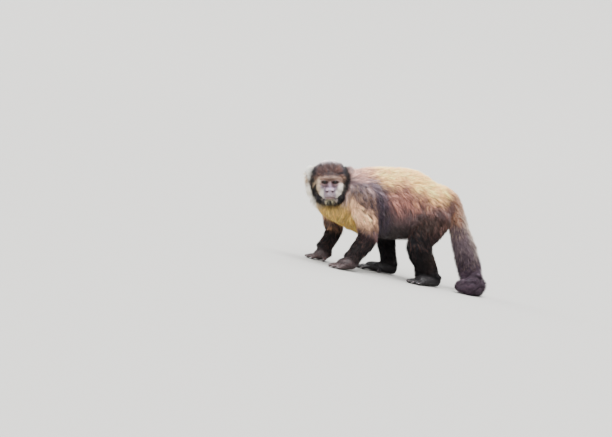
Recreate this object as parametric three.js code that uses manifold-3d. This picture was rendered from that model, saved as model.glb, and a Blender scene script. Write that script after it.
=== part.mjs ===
// A life-size yellow-breasted capuchin monkey, standing on all fours and looking over its left side.
// Millimetres, +Z up. The body faces -Y, its left side is +X, and the floor is Z = 0.
// Every solid follows the outline of the coat, out to the tips of the hair.
import * as THREE from "three";
import { mergeVertices } from "three/addons/utils/BufferGeometryUtils.js";
import Module from "manifold-3d";

const wasm = await Module();
wasm.setup();

// ---- Driving dimensions ----
const seam = 0.3; // gap between two neighbouring pieces
const headCentre = [10, -215, 180]; // middle of the head, level with the eyes
const headTurn = 62; // degrees that the face looks to the left of the body's own line
const headTilt = 13.5; // degrees that the crown leans to the head's right
const headHalf = [43, 44, 50]; // half width, half length and half height of the head
const eyeRadius = 8.6;
const eyeSpacing = 23.4; // between the middles of the two eyes
const eyeForward = 24; // from the middle of the head to the middle of an eye
const mouthLevel = -32; // mouth line, below the eyes

// Neck and trunk from the head to the rump: [y, top, bottom, half width].
const neckLine = [
  [-220, 206, 122, 26],
  [-200, 210, 103, 35],
  [-170, 214, 94, 43],
];
const trunkLine = [
  [-188, 208, 101, 38],
  [-152, 222, 88, 46],
  [-119, 231, 79, 52],
  [-70, 241, 81, 54],
  [-25, 248, 85, 55],
  [8, 247, 90, 55],
  [44, 240, 101, 53],
  [70, 235, 124, 47],
  [90, 231, 150, 35],
];
const neckCut = [0, -166, 160]; // where the neck leaves the chest
const neckAim = [0, -0.91, -0.42];
const chestEnd = -78; // Y where the chest piece meets the belly piece
const bellyEnd = 14; // Y where the belly piece meets the rump piece
const tailRoot = 97; // Y where the tail leaves the rump

// Limbs as stations [x, y, z, half width, half depth] at the tips of the coat. The pieces part
// at thin round cuts [x, y, z, aim x, aim y, aim z, radius].
const limbs = {
  left: {
    upper: [[28, -146, 184, 20, 30], [44, -146, 158, 25, 36], [54, -129, 120, 21, 30], [57, -113, 88, 19, 24]],
    lower: [[57, -113, 90, 18, 23], [60, -119, 70, 19, 25], [65, -136, 46, 18, 22], [70, -151, 24, 17, 18]],
    end: [[69, -145, 20, 15, 16], [72, -160, 15, 18, 15.5], [74, -174, 11, 17, 12.5]],
    joint: [57, -112, 88, 0, 0.25, 1, 46],
    wrist: [69, -148, 27, -0.15, 0.6, 1, 34],
    turn: 9,
    foot: false,
  },
  right: {
    upper: [[-30, -156, 182, 20, 30], [-46, -164, 150, 25, 36], [-53, -157, 112, 21, 30], [-55, -145, 84, 18, 23]],
    lower: [[-55, -142, 86, 17, 22], [-54, -142, 68, 18, 21], [-52, -150, 45, 17, 19], [-50, -160, 26, 16, 17]],
    end: [[-50, -148, 22, 14, 15], [-50, -160, 14.5, 17, 15], [-51, -169, 11, 17, 12.5]],
    joint: [-55, -141, 84, 0, 0.1, 1, 46],
    wrist: [-50, -157, 29, 0, 0.5, 1, 34],
    turn: 0,
    foot: false,
  },
  leftLeg: {
    upper: [[10, 62, 184, 16, 34], [36, 50, 152, 29, 47], [52, 28, 118, 26, 39], [59, 8, 90, 21, 28]],
    lower: [[59, 7, 93, 21, 26], [59, 20, 71, 21, 30], [58, 44, 46, 19, 27], [54, 69, 24, 17, 19]],
    end: [[52, 84, 15.5, 14, 17], [56, 72, 14.5, 16, 15.5], [66, 48, 11.5, 18, 12.5], [74, 31, 10, 18, 11]],
    joint: [59, 9, 84, 0, 0, 1, 46],
    wrist: [56, 62, 28, 0, 0.08, 1, 42],
    turn: 24,
    foot: true,
  },
  rightLeg: {
    upper: [[-10, 62, 184, 16, 34], [-36, 44, 154, 29, 45], [-48, 14, 130, 25, 35], [-53, -12, 108, 20, 27]],
    lower: [[-53, -13, 110, 20, 25], [-53, -10, 86, 19, 26], [-50, 1, 54, 17, 23], [-46, 15, 24, 16, 18]],
    end: [[-45, 24, 15, 14, 16], [-46, 12, 14, 16, 15], [-48, -12, 11, 18, 12.5], [-50, -32, 10, 18, 11]],
    joint: [-53, -8, 100, 0, 0, 1, 46],
    wrist: [-46, 16, 28, 0, 0, 1, 34],
    turn: 5,
    foot: true,
  },
};

// Digits as [across toward the outer side, ahead, turn outward, length], the inner one first.
const digitRadius = 5.6;
const fingers = [[-14, -14, -46, 16], [-10, 0, -14, 21], [-3.5, 3, -3, 25], [4, 2, 5, 24], [11, -2, 14, 19]];
const toes = [[-12, -20, -48, 24], [-10, 4, -9, 25], [-3.5, 7, -2, 28], [3.5, 5, 5, 27], [10.5, 0, 12, 23]];

// The tail hangs from the rump and is laid on the floor, curling forward on the left side.
const tailLine = [
  [0, 72, 203, 28],
  [0, 103, 190, 26],
  [0, 124, 165, 23],
  [0, 144, 134, 24],
  [0, 162, 106, 25.5],
  [0, 178, 80, 27],
  [3, 191, 56, 27],
  [13, 195, 35, 26],
  [33, 194, 23, 25],
  [57, 187, 21, 23.5],
  [77, 171, 20, 22],
  [90, 147, 18, 19],
  [87, 126, 16, 15],
];
const tailCuts = [0.3, 0.55, 0.78]; // shares of the tail's length where its four pieces meet

const coats = {
  back: { color: 0xc9a472, roughness: 0.9 },
  flank: { color: 0x6b4432, roughness: 0.9 },
  breast: { color: 0xc99b4f, roughness: 0.9 },
  crown: { color: 0x4a3228, roughness: 0.9 },
  limb: { color: 0x2f211e, roughness: 0.9 },
  tail: { color: 0x4b3128, roughness: 0.9 },
  face: { color: 0xc9b4a6, roughness: 0.7 },
  ear: { color: 0xb79c8c, roughness: 0.8 },
  hand: { color: 0x3a2b28, roughness: 0.75 },
  eye: { color: 0x2a140a, roughness: 0.1 },
};

// ---- Solids ----
const point = (x, y, z) => new THREE.Vector3(x, y, z);
const upwards = point(0, 0, 1);
const forwards = point(0, -1, 0);
const radians = THREE.MathUtils.degToRad;

// A closed geometry as a manifold solid.
function solidOf(geometry) {
  geometry.deleteAttribute("normal");
  geometry.deleteAttribute("uv");
  const merged = mergeVertices(geometry, 1e-4);
  const vertProperties = new Float32Array(merged.attributes.position.array);
  return new wasm.Manifold(new wasm.Mesh({ numProp: 3, vertProperties, triVerts: new Uint32Array(merged.index.array) }));
}

const join = (solids) => solids.reduce((all, next) => all.add(next));

// A round-ended body through stations { centre, half width, half depth }. The width runs
// across `level` and the depth along it. The ends bulge by `bulge` of their own size. A rooted
// body starts in a plain point, hidden in what it grows from.
function loft(stations, { sides = 11, steps = 1, level = upwards, bulge = [0.7, 0.7], rooted = false } = {}) {
  const bends = [0, 45];
  const line = new THREE.CatmullRomCurve3(stations.map(([x, y, z]) => point(x, y, z)), false, "centripetal");
  const widths = stations.map(([, , , w, d]) => point(w, d ?? w, 0));
  const sizes = new THREE.CatmullRomCurve3(widths, false, "catmullrom", 0.4);
  const count = (stations.length - 1) * steps;
  const rings = [];
  const addRing = (t, share, out) => {
    const along = line.getTangent(t);
    const side = point(0, 0, 0).crossVectors(along, level).normalize();
    const top = point(0, 0, 0).crossVectors(side, along);
    const size = sizes.getPoint(t);
    const middle = line.getPoint(t).addScaledVector(along, out);
    rings.push({ middle, side, top, w: size.x * share, d: size.y * share });
  };
  const addCap = (t, reach, angles) => {
    angles.forEach((angle) => addRing(t, Math.cos(radians(angle)), reach * Math.sin(radians(angle))));
  };
  addCap(0, -stations[0][3] * bulge[0], rooted ? [90] : [90, ...bends.slice(1).reverse()]);
  for (let i = 0; i <= count; i++) addRing(i / count, 1, 0);
  addCap(1, stations.at(-1)[3] * bulge[1], [...bends.slice(1), 90]);
  const at = [];
  const faces = [];
  rings.forEach((ring, row) => {
    const tip = row === 0 || row === rings.length - 1;
    for (let i = 0; i < sides; i++) {
      const turn = ((i + 0.5) / sides) * 2 * Math.PI;
      const spot = ring.middle.clone();
      if (!tip) {
        spot.addScaledVector(ring.side, ring.w * Math.cos(turn));
        spot.addScaledVector(ring.top, ring.d * Math.sin(turn));
      }
      at.push(spot.x, spot.y, spot.z);
    }
  });
  for (let row = 0; row < rings.length - 1; row++) {
    for (let i = 0; i < sides; i++) {
      const a = row * sides + i;
      const b = row * sides + ((i + 1) % sides);
      if (row < rings.length - 2) faces.push(a, a + sides, b + sides);
      if (row > 0) faces.push(a, b + sides, b);
    }
  }
  const geometry = new THREE.BufferGeometry();
  geometry.setAttribute("position", new THREE.Float32BufferAttribute(at, 3));
  geometry.setIndex(faces);
  return solidOf(geometry);
}

// Stations with their half widths grown by the seam, for cutting a neighbour clear.
const grown = (stations) => {
  return stations.map(([x, y, z, w, d]) => [x, y, z, w + seam, (d ?? w) + seam]);
};

// An egg with half sizes along the axes of `frame`. A `fullness` above 2 squares its corners.
function egg(frame, [x, y, z], [rx, ry, rz], { sides = 10, rings = 6, fullness = 2 } = {}) {
  const geometry = new THREE.SphereGeometry(1, sides, rings);
  geometry.rotateX(Math.PI / 2);
  const at = geometry.attributes.position;
  for (let i = 0; i < at.count; i++) {
    const spot = point(at.getX(i), at.getY(i), at.getZ(i));
    const length = Math.abs(spot.x) ** fullness + Math.abs(spot.y) ** fullness + Math.abs(spot.z) ** fullness;
    spot.multiplyScalar(length ** (-1 / fullness));
    at.setXYZ(i, spot.x, spot.y, spot.z);
  }
  geometry.scale(rx, ry, rz);
  geometry.translate(x, y, z);
  geometry.applyMatrix4(frame);
  return solidOf(geometry);
}

// An oval column along the head's looking line, from `back` forward.
function column([x, z], [rx, rz], back, grow) {
  const geometry = new THREE.CylinderGeometry(1, 1, 100, 14);
  geometry.scale(rx + grow, 1, rz + grow);
  geometry.translate(x, back - grow + 50, z);
  geometry.applyMatrix4(headFrame);
  return solidOf(geometry);
}

// A box that spans two corners.
function block([x0, y0, z0], [x1, y1, z1]) {
  const geometry = new THREE.BoxGeometry(x1 - x0, y1 - y0, z1 - z0);
  geometry.translate((x0 + x1) / 2, (y0 + y1) / 2, (z0 + z1) / 2);
  return solidOf(geometry);
}

// A thin round cut through a spot, square to the aim.
function cut([x, y, z], [ax, ay, az], radius) {
  const geometry = new THREE.CylinderGeometry(radius, radius, seam, 24);
  geometry.applyQuaternion(new THREE.Quaternion().setFromUnitVectors(point(0, 1, 0), point(ax, ay, az).normalize()));
  geometry.translate(x, y, z);
  return solidOf(geometry);
}

// Everything beyond a plane through a spot, set back by `shift` along the aim.
function beyond([x, y, z], aim, shift) {
  const geometry = new THREE.BoxGeometry(600, 600, 600);
  geometry.translate(0, 300 + shift, 0);
  geometry.applyQuaternion(new THREE.Quaternion().setFromUnitVectors(point(0, 1, 0), point(...aim).normalize()));
  geometry.translate(x, y, z);
  return solidOf(geometry);
}

const ground = block([-400, -500, -100], [400, 500, 0]);
const largest = (solid) => solid.decompose().sort((a, b) => b.volume() - a.volume())[0];

// The loose pieces of a cut body, each picked by the spot it lies nearest to.
function pieces(solid, spots) {
  const loose = solid.decompose().filter((piece) => piece.volume() > 500);
  const reach = (piece, spot) => {
    const { min, max } = piece.boundingBox();
    return point((min[0] + max[0]) / 2, (min[1] + max[1]) / 2, (min[2] + max[2]) / 2).distanceTo(point(...spot));
  };
  return spots.map((spot) => [...loose].sort((a, b) => reach(a, spot) - reach(b, spot))[0]);
}

// ---- Head ----
// Head axes: x is the head's right, y is where the face looks, z is its crown.
const headFrame = new THREE.Matrix4().makeTranslation(...headCentre);
headFrame.multiply(new THREE.Matrix4().makeRotationZ(radians(headTurn - 180)));
headFrame.multiply(new THREE.Matrix4().makeRotationY(radians(headTilt)));
const across = eyeSpacing / 2;

const eyeSolid = (side, grow = 0) => {
  const radius = eyeRadius + grow;
  return egg(headFrame, [side * across, eyeForward, 0], [radius, radius, radius], { sides: 10, rings: 7 });
};

const headMiddle = [0, -12, -2];
const headShape = { sides: 16, rings: 10, fullness: 2.35 };
const ruffMiddle = [0, -22, -4];
const ruffHalf = [50, 20, 49];
const ruffShape = { sides: 14, rings: 8, fullness: 2.2 };

// The eggs that make up the head, each grown by `grow`: [middle, half sizes, shape].
function headMass(grow) {
  const eggs = [
    [headMiddle, headHalf, headShape],
    [[0, 5, -29], [34, 26, 23], { sides: 12, rings: 6, fullness: 2.3 }],
    [[0, 26.5, 9.5], [21, 9, 6], { sides: 9 }],
    [[0, 31, -21], [17.5, 19, 13], { sides: 12, rings: 7 }],
    [[0, 29, -38], [13.5, 14, 8.5], { sides: 9 }],
  ];
  return join(eggs.map(([middle, half, shape]) => egg(headFrame, middle, half.map((size) => size + grow), shape)));
}

// Crown, cheeks, brow, muzzle and chin as one body with open eye sockets.
function headSolid() {
  const bridge = egg(headFrame, [0, 35, -11], [6, 11, 12], { sides: 8, rings: 5 });
  const nose = egg(headFrame, [0, 45, -18], [9, 6.5, 5.5], { sides: 9, rings: 5 });
  const socket = (side) => egg(headFrame, [side * (across + 0.5), 39, -0.5], [12, 10, 8.5], { sides: 9, rings: 6 });
  return headMass(0).subtract(socket(1)).subtract(socket(-1)).add(bridge).add(nose);
}

const maskShape = (grow) => column([0, -8], [33, 32], 6, grow);
const muzzleShape = (grow) => column([0, -21], [18.5, 18], 22, grow);

// The part of the head below the mouth line, lowered by the seam.
function belowMouth(drop) {
  const geometry = new THREE.BoxGeometry(80, 90, 60);
  geometry.translate(0, 45 + 18, mouthLevel - drop - 30);
  geometry.applyMatrix4(headFrame);
  return solidOf(geometry);
}

// A thick-rimmed ear, leaning out from the side of the head, with a tuft of hair above it.
function earSolid(side, grow = 0) {
  const frame = headFrame.clone().multiply(new THREE.Matrix4().makeTranslation(side * 42, -8, 12));
  frame.multiply(new THREE.Matrix4().makeRotationZ(radians(side * 30)));
  const shell = egg(frame, [0, 0, 0], [5.5 + grow, 11 + grow, 17 + grow], { sides: 9 });
  const tuft = egg(frame, [side * 1.5, -2, 13], [7.5 + grow, 9 + grow, 10 + grow], { sides: 8, rings: 5 });
  const hollow = egg(frame, [side * 5.5, 3, -2], [3.2, 6, 9], { sides: 7, rings: 5 });
  return grow > 0 ? shell.add(tuft) : shell.add(tuft).subtract(hollow);
}

// ---- Neck, trunk and tail ----
const stationsOf = (rows) => rows.map(([y, top, bottom, w]) => [0, y, (top + bottom) / 2, w, (top - bottom) / 2]);

const neckShape = { sides: 14, bulge: [0.6, 0.3] };
const trunkShape = { sides: 18, bulge: [0.45, 0.35] };

// The pale ring of hair behind the head belongs to the neck.
function torsoSolid() {
  const neck = loft(stationsOf(neckLine), neckShape);
  const ruff = egg(headFrame, ruffMiddle, ruffHalf, ruffShape);
  const trunk = loft(stationsOf(trunkLine), trunkShape);
  return join([neck, ruff, trunk]);
}

const slice = (solid, y0, y1) => solid.intersect(block([-200, y0, -50], [200, y1, 400]));

// ---- Limbs ----
// A digit from its root on the palm or sole, pointing `turn` degrees outward and sinking to the floor.
function digit([x, y, z], turn, length) {
  const aim = point(Math.sin(radians(turn)), -Math.cos(radians(turn)), 0);
  const low = digitRadius * 0.66;
  const stations = [[0, z, 1], [0.5, (z + low) / 2 + 1.5, 1], [1, low, 0.8]].map(([t, height, share]) => {
    return [x + aim.x * length * t, y + aim.y * length * t, height, digitRadius * share];
  });
  return loft(stations, { sides: 6, bulge: [0.8, 1], rooted: true });
}

// The whole limb, from inside the trunk to the tips of its digits.
function limbSolid(limb, side) {
  const straight = { level: forwards, bulge: [0.7, 0.6] };
  const upper = loft(limb.upper, { ...straight, rooted: true });
  const lower = loft(limb.lower, straight);
  const end = loft(limb.end, { sides: 10, bulge: [0.75, 0.6] });
  const [x, y, z] = limb.end.at(-1);
  const ahead = point(Math.sin(radians(limb.turn)), -Math.cos(radians(limb.turn)), 0);
  const outward = point(ahead.y * -1, ahead.x, 0);
  const tips = (limb.foot ? toes : fingers).map(([a, f, bend, length]) => {
    const root = [x + outward.x * side * a + ahead.x * f, y + outward.y * side * a + ahead.y * f, z - 3];
    return digit(root, limb.turn + side * bend, length);
  });
  return join([upper, lower, end, ...tips]).subtract(ground);
}

const middleOf = (stations) => [0, 1, 2].map((k) => (stations[1][k] + stations.at(-2)[k]) / 2);

// ---- Assembly ----
const group = new THREE.Group();
group.name = "capuchin";

function place(name, coat, solid) {
  const mesh = largest(solid).getMesh();
  const geometry = new THREE.BufferGeometry();
  geometry.setAttribute("position", new THREE.Float32BufferAttribute(mesh.vertProperties, 3));
  geometry.setIndex(Array.from(mesh.triVerts));
  geometry.computeVertexNormals();
  const made = new THREE.Mesh(geometry, new THREE.MeshStandardMaterial({ name: `${name}_coat`, ...coats[coat] }));
  made.name = name;
  group.add(made);
}

const eyesClear = eyeSolid(1, seam).add(eyeSolid(-1, seam));
const earsClear = earSolid(1, seam).add(earSolid(-1, seam));
const wholeHead = headSolid().subtract(eyesClear);
place("eye_left", "eye", eyeSolid(-1));
place("eye_right", "eye", eyeSolid(1));
place("muzzle", "face", wholeHead.intersect(muzzleShape(0)).subtract(belowMouth(0)));
place("chin", "face", wholeHead.intersect(muzzleShape(0)).intersect(belowMouth(seam)));
place("face", "face", wholeHead.intersect(maskShape(0)).subtract(muzzleShape(seam)));
place("head", "crown", wholeHead.subtract(maskShape(seam)).subtract(earsClear));
place("ear_left", "ear", earSolid(-1));
place("ear_right", "ear", earSolid(1));

const headClear = headMass(seam).add(earsClear);
const tailLoft = loft(tailLine, { sides: 12, level: point(1, 0, 0.4), bulge: [0.6, 0.8] }).subtract(ground);
const torso = torsoSolid().subtract(headClear).add(tailLoft);
const trunk = torso.subtract(beyond(neckCut, neckAim, 0));
place("neck", "back", torso.intersect(beyond(neckCut, neckAim, seam)));
place("chest", "breast", slice(trunk, -300, chestEnd));
place("belly", "flank", slice(trunk, chestEnd + seam, bellyEnd));
place("rump", "back", slice(trunk, bellyEnd + seam, tailRoot));

const tailCurve = new THREE.CatmullRomCurve3(tailLine.map(([x, y, z]) => point(x, y, z)), false, "centripetal");
let tail = slice(torso, tailRoot + seam, 400);
for (const t of tailCuts) {
  tail = tail.subtract(cut(tailCurve.getPointAt(t).toArray(), tailCurve.getTangentAt(t).toArray(), 36));
}
const tailNames = ["tail_base", "tail_middle", "tail_low", "tail_tip"];
pieces(tail, [0.15, 0.42, 0.66, 0.9].map((t) => tailCurve.getPointAt(t).toArray())).forEach((piece, i) => {
  place(tailNames[i], "tail", piece);
});

const trunkClear = join([
  loft(grown(stationsOf(trunkLine)), trunkShape),
  loft(grown(stationsOf(neckLine)), neckShape),
  egg(headFrame, ruffMiddle, ruffHalf.map((half) => half + seam), ruffShape),
  headClear,
]);
for (const [key, limb] of Object.entries(limbs)) {
  const side = key.startsWith("left") ? 1 : -1;
  const word = side > 0 ? "left" : "right";
  const names = limb.foot ? ["thigh", "shank", "foot"] : ["upper_arm", "forearm", "hand"];
  const colours = limb.foot ? ["limb", "limb", "hand"] : ["breast", "limb", "hand"];
  const whole = limbSolid(limb, side)
    .subtract(trunkClear)
    .subtract(cut(limb.joint.slice(0, 3), limb.joint.slice(3, 6), limb.joint[6]))
    .subtract(cut(limb.wrist.slice(0, 3), limb.wrist.slice(3, 6), limb.wrist[6]));
  pieces(whole, [limb.upper, limb.lower, limb.end].map(middleOf)).forEach((piece, i) => {
    place(`${names[i]}_${word}`, colours[i], piece);
  });
}

// The origin is the middle of the outline, on the floor.
const outline = new THREE.Box3().setFromObject(group);
const middle = outline.getCenter(point(0, 0, 0));
group.children.forEach((mesh) => mesh.geometry.translate(-middle.x, -middle.y, 0));

export default group;
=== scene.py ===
import math

import bmesh
import bpy
import numpy as np
from mathutils import Matrix, Vector
from mathutils.bvhtree import BVHTree


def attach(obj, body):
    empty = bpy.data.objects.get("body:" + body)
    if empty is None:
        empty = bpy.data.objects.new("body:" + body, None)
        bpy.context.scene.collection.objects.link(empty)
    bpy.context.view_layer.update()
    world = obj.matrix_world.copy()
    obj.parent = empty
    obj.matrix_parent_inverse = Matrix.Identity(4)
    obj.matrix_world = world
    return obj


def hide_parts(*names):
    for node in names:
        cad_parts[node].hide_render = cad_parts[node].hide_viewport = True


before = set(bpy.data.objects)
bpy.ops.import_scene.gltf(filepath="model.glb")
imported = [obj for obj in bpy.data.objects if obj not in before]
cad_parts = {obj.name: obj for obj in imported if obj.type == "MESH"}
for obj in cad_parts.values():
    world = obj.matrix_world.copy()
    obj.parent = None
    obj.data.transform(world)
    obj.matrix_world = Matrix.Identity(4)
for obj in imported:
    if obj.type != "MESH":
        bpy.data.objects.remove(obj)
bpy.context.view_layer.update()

# A life-size still capuchin monkey. Shapes are worked out in mm of the animal's own drawing,
# and toWorld turns them into this scene's metres.
drawingMiddle = np.array([17.636448, -20.682945, 0.0])
chance = np.random.default_rng(11)
share = 1.0  # part of the coat that is grown


def toWorld(points):
    return (np.asarray(points, dtype=float) - drawingMiddle) / 1000


def toDrawing(points):
    return np.asarray(points, dtype=float) * 1000 + drawingMiddle


def srgb(code):
    parts = [int(code[i:i + 2], 16) / 255 for i in (1, 3, 5)]
    return np.array([p / 12.92 if p <= 0.04045 else ((p + 0.055) / 1.055) ** 2.4 for p in parts])


def ramp(value, low, high):  # 0 up to low, 1 from high
    t = np.clip((value - low) / (high - low), 0, 1)
    return t * t * (3 - 2 * t)


def fade(value, low, high):  # 1 up to low, 0 from high
    return 1 - ramp(value, low, high)


def ridge(value, width):  # 1 where value is 0, gone at about twice the width
    return np.exp(-((value / width) ** 2))


def bump(x, z, middle, half):
    return np.exp(-(((x - middle[0]) / half[0]) ** 2 + ((z - middle[1]) / half[1]) ** 2))


def mixed(first, second, part):
    return first + (second - first) * np.asarray(part)[..., None]


def unit(vectors):
    return vectors / np.maximum(np.linalg.norm(vectors, axis=-1, keepdims=True), 1e-12)


def waves(points, size, seed, count=9):  # smooth noise of about -1.5 to 1.5 from crossing waves
    turns = np.random.default_rng(seed)
    aims = unit(turns.normal(size=(count, 3)))
    lengths = size * turns.uniform(0.75, 1.6, count)
    starts = turns.uniform(0, 2 * math.pi, count)
    swing = np.sin(points @ (aims / lengths[:, None]).T * 2 * math.pi + starts)
    return swing.sum(axis=1) / math.sqrt(count / 2)


# The head looks over the animal's left side. In its own axes x is the head's right, y ahead, z up.
head = {"middle": np.array([10.0, -215.0, 180.0]), "turn": 62, "tilt": 13.5}
eye = {"across": 11.7, "ahead": 24.0, "radius": 8.6, "halfWidth": 7.0, "above": 3.9, "below": 3.4}
headTurn = Matrix.Rotation(math.radians(head["turn"] - 180), 3, "Z")
headTilt = Matrix.Rotation(math.radians(head["tilt"]), 3, "Y")
headAxes = np.array(headTurn @ headTilt)


def toHead(points):
    return (points - head["middle"]) @ headAxes


def fromHead(points):
    return np.asarray(points, dtype=float) @ headAxes.T + head["middle"]


# Camera, floor and lights
cameraFacts = {"turn": 62, "rise": 3.5, "roll": 13.5, "lens": 150, "away": 5.74, "aim": (-217.7, 81.8)}


def makeCamera():
    turn, rise, roll = (math.radians(cameraFacts[key]) for key in ("turn", "rise", "roll"))
    back = Vector((math.sin(turn) * math.cos(rise), -math.cos(turn) * math.cos(rise), math.sin(rise)))
    side = Vector((math.cos(turn), math.sin(turn), 0))
    over = back.cross(side)
    right = side * math.cos(roll) + over * math.sin(roll)
    up = over * math.cos(roll) - side * math.sin(roll)
    aim = side * cameraFacts["aim"][0] + over * cameraFacts["aim"][1]
    data = bpy.data.cameras.new("camera")
    data.lens = cameraFacts["lens"]
    data.sensor_width = 36
    data.clip_start = 0.1
    data.clip_end = 100
    camera = bpy.data.objects.new("camera", data)
    bpy.context.collection.objects.link(camera)
    place = Vector(toWorld(aim[:])) + back * cameraFacts["away"]
    camera.matrix_world = Matrix.Translation(place) @ Matrix((right, up, back)).transposed().to_4x4()
    bpy.context.scene.camera = camera


def addNode(tree, kind, settings=None, **links):  # settings: plain values; links: input name to output
    node = tree.nodes.new(kind)
    for key, value in (settings or {}).items():
        if hasattr(node, key) and key not in node.inputs:
            setattr(node, key, value)
        else:
            node.inputs[key].default_value = value
    for key, socket in links.items():
        tree.links.new(socket, node.inputs[key.replace("_", " ")])
    return node


def newMaterial(name):
    made = bpy.data.materials.new(name)
    made.use_nodes = True
    made.node_tree.nodes.clear()
    return made, made.node_tree


def finishMaterial(tree, shader):
    out = tree.nodes.new("ShaderNodeOutputMaterial")
    tree.links.new(shader.outputs[0], out.inputs["Surface"])


def varied(tree, pattern, low, high):  # the painted tone, made darker and lighter by a pattern
    painted = addNode(tree, "ShaderNodeAttribute", {"attribute_name": "tint"})
    span = {"From Min": 0.3, "From Max": 0.7, "To Min": low, "To Max": high}
    tone = addNode(tree, "ShaderNodeMapRange", span, Value=pattern.outputs[0])
    return addNode(tree, "ShaderNodeVectorMath", {"operation": "SCALE"}, Vector=painted.outputs["Color"],
                   Scale=tone.outputs[0]).outputs[0]


def addPiece(name, mesh):
    piece = bpy.data.objects.new(name, mesh)
    bpy.context.collection.objects.link(piece)
    return piece


def meshFrom(bm, name):
    bmesh.ops.recalc_face_normals(bm, faces=bm.faces)
    mesh = bpy.data.meshes.new(name)
    bm.to_mesh(mesh)
    bm.free()
    mesh.shade_smooth()
    return mesh


def makeFloor():  # a shallow dish, level under the animal
    facts = {"flat": 14.0, "curve": 20.0, "steepest": 45, "steps": 12, "around": 96}
    bm = bmesh.new()
    profile = [(0.0, 0.0), (facts["flat"], 0.0)]
    for step in range(1, facts["steps"] + 1):
        angle = math.radians(facts["steepest"] * step / facts["steps"])
        across = facts["flat"] + facts["curve"] * math.sin(angle)
        profile.append((across, facts["curve"] * (1 - math.cos(angle))))
    verts = [bm.verts.new((r, 0, z)) for r, z in profile]
    edges = [bm.edges.new(pair) for pair in zip(verts, verts[1:])]
    bmesh.ops.spin(bm, geom=verts + edges, cent=(0, 0, 0), axis=(0, 0, 1), angle=2 * math.pi,
                   steps=facts["around"], use_merge=True)
    bmesh.ops.remove_doubles(bm, verts=bm.verts, dist=1e-5)
    floor = addPiece("floor", meshFrom(bm, "floor"))
    made, tree = newMaterial("matt studio board")  # even pale grey with no gloss
    shader = addNode(tree, "ShaderNodeBsdfPrincipled",
                     {"Base Color": (*srgb("#8f8e8b"), 1), "Roughness": 0.9, "Specular IOR Level": 0.1})
    finishMaterial(tree, shader)
    floor.data.materials.append(made)


def makeLights():
    world = bpy.data.worlds.new("studio")
    world.use_nodes = True
    sky = world.node_tree.nodes["Background"]
    sky.inputs["Color"].default_value = (1.0, 1.0, 1.0, 1)
    sky.inputs["Strength"].default_value = 0.6
    bpy.context.scene.world = world
    lamps = [  # name, direction it comes from, strength, softness in degrees
        ("overhead", (0.1, 0.1, 2.4), 11.5, 50),
        ("ahead", (2.1, -1.5, 2.2), 5.7, 40),
        ("behind", (-1.5, 1.4, 1.9), 3.0, 35),
        ("beside", (-1.0, -1.9, 1.5), 2.8, 35),
    ]
    for name, place, strength, softness in lamps:
        data = bpy.data.lights.new(name, "SUN")
        data.energy = strength
        data.angle = math.radians(softness)
        lamp = addPiece(name, data)
        lamp.location = place
        lamp.rotation_euler = (-Vector(place)).to_track_quat("-Z", "Y").to_euler()


makeCamera()
makeFloor()
makeLights()
print("camera, floor and lights")

# How the coat grows on each part: mm of coat over the skin, hair length and width, tufts per square
# mm, how far they stand out, and the spread of their tone.
coatKeys = ("depth", "length", "width", "number", "stand", "tone")
coat = {
    "head": (5.5, 13, 0.66, 1.0, 0.06, 0.42),
    "face": (1.2, 3.4, 0.5, 1.3, 0.08, 0.16),
    "muzzle": (0.7, 2.2, 0.34, 1.1, 0.05, 0.12),
    "chin": (1.8, 5.0, 0.45, 1.3, 0.1, 0.2),
    "ear": (1.2, 8, 0.5, 1.1, 0.4, 0.3),
    "neck": (8, 20, 0.92, 0.42, 0.1, 0.5),
    "chest": (9.5, 23, 0.98, 0.4, 0.04, 0.62),
    "belly": (10, 24, 0.98, 0.4, 0.04, 0.62),
    "rump": (10, 23, 0.98, 0.4, 0.04, 0.6),
    "tail_base": (9, 22, 0.95, 0.5, 0.12, 0.6),
    "tail_middle": (10, 24, 0.95, 0.5, 0.16, 0.6),
    "tail_low": (10, 24, 0.95, 0.5, 0.12, 0.45),
    "tail_tip": (7, 20, 0.92, 0.55, 0.1, 0.45),
    "upper_arm": (7.5, 19, 0.88, 0.5, 0.05, 0.55),
    "forearm": (5, 13, 0.75, 0.65, 0.06, 0.5),
    "hand": (1.1, 5, 0.5, 0.9, 0.05, 0.4),
    "thigh": (8, 20, 0.9, 0.5, 0.05, 0.6),
    "shank": (5, 14, 0.78, 0.65, 0.06, 0.5),
    "foot": (1.1, 5, 0.5, 0.9, 0.05, 0.4),
}
nodeNames = sorted(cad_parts)
fleshNames = [name for name in nodeNames if not name.startswith("eye")]
armKinds = ("upper_arm", "forearm", "hand")
legKinds = ("thigh", "shank", "foot")


def kindOf(name):
    return name.replace("_left", "").replace("_right", "")


# Middle lines of the limbs and the tail, from the trunk outwards.
lines = {
    "arm_left": [(28, -146, 184), (44, -146, 158), (54, -129, 120), (57, -113, 88), (60, -119, 70),
                 (65, -136, 46), (70, -151, 24), (72, -160, 15), (76, -190, 8)],
    "arm_right": [(-30, -156, 182), (-46, -164, 150), (-53, -157, 112), (-55, -145, 84), (-54, -142, 68),
                  (-52, -150, 45), (-50, -160, 26), (-50, -166, 15), (-51, -196, 8)],
    "leg_left": [(20, 64, 184), (36, 50, 152), (52, 28, 118), (59, 8, 90), (59, 20, 71),
                 (58, 44, 46), (54, 69, 24), (62, 60, 14), (84, 5, 8)],
    "leg_right": [(-20, 64, 184), (-36, 44, 154), (-48, 14, 130), (-53, -12, 108), (-53, -10, 86),
                  (-50, 1, 54), (-46, 15, 24), (-47, 0, 14), (-53, -62, 8)],
    "tail": [(0, 72, 203), (0, 103, 190), (0, 124, 165), (0, 144, 134), (0, 162, 106), (0, 178, 80),
             (3, 191, 56), (13, 195, 35), (33, 194, 23), (57, 187, 21), (77, 171, 20), (90, 147, 18),
             (85, 112, 15)],
}
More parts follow.
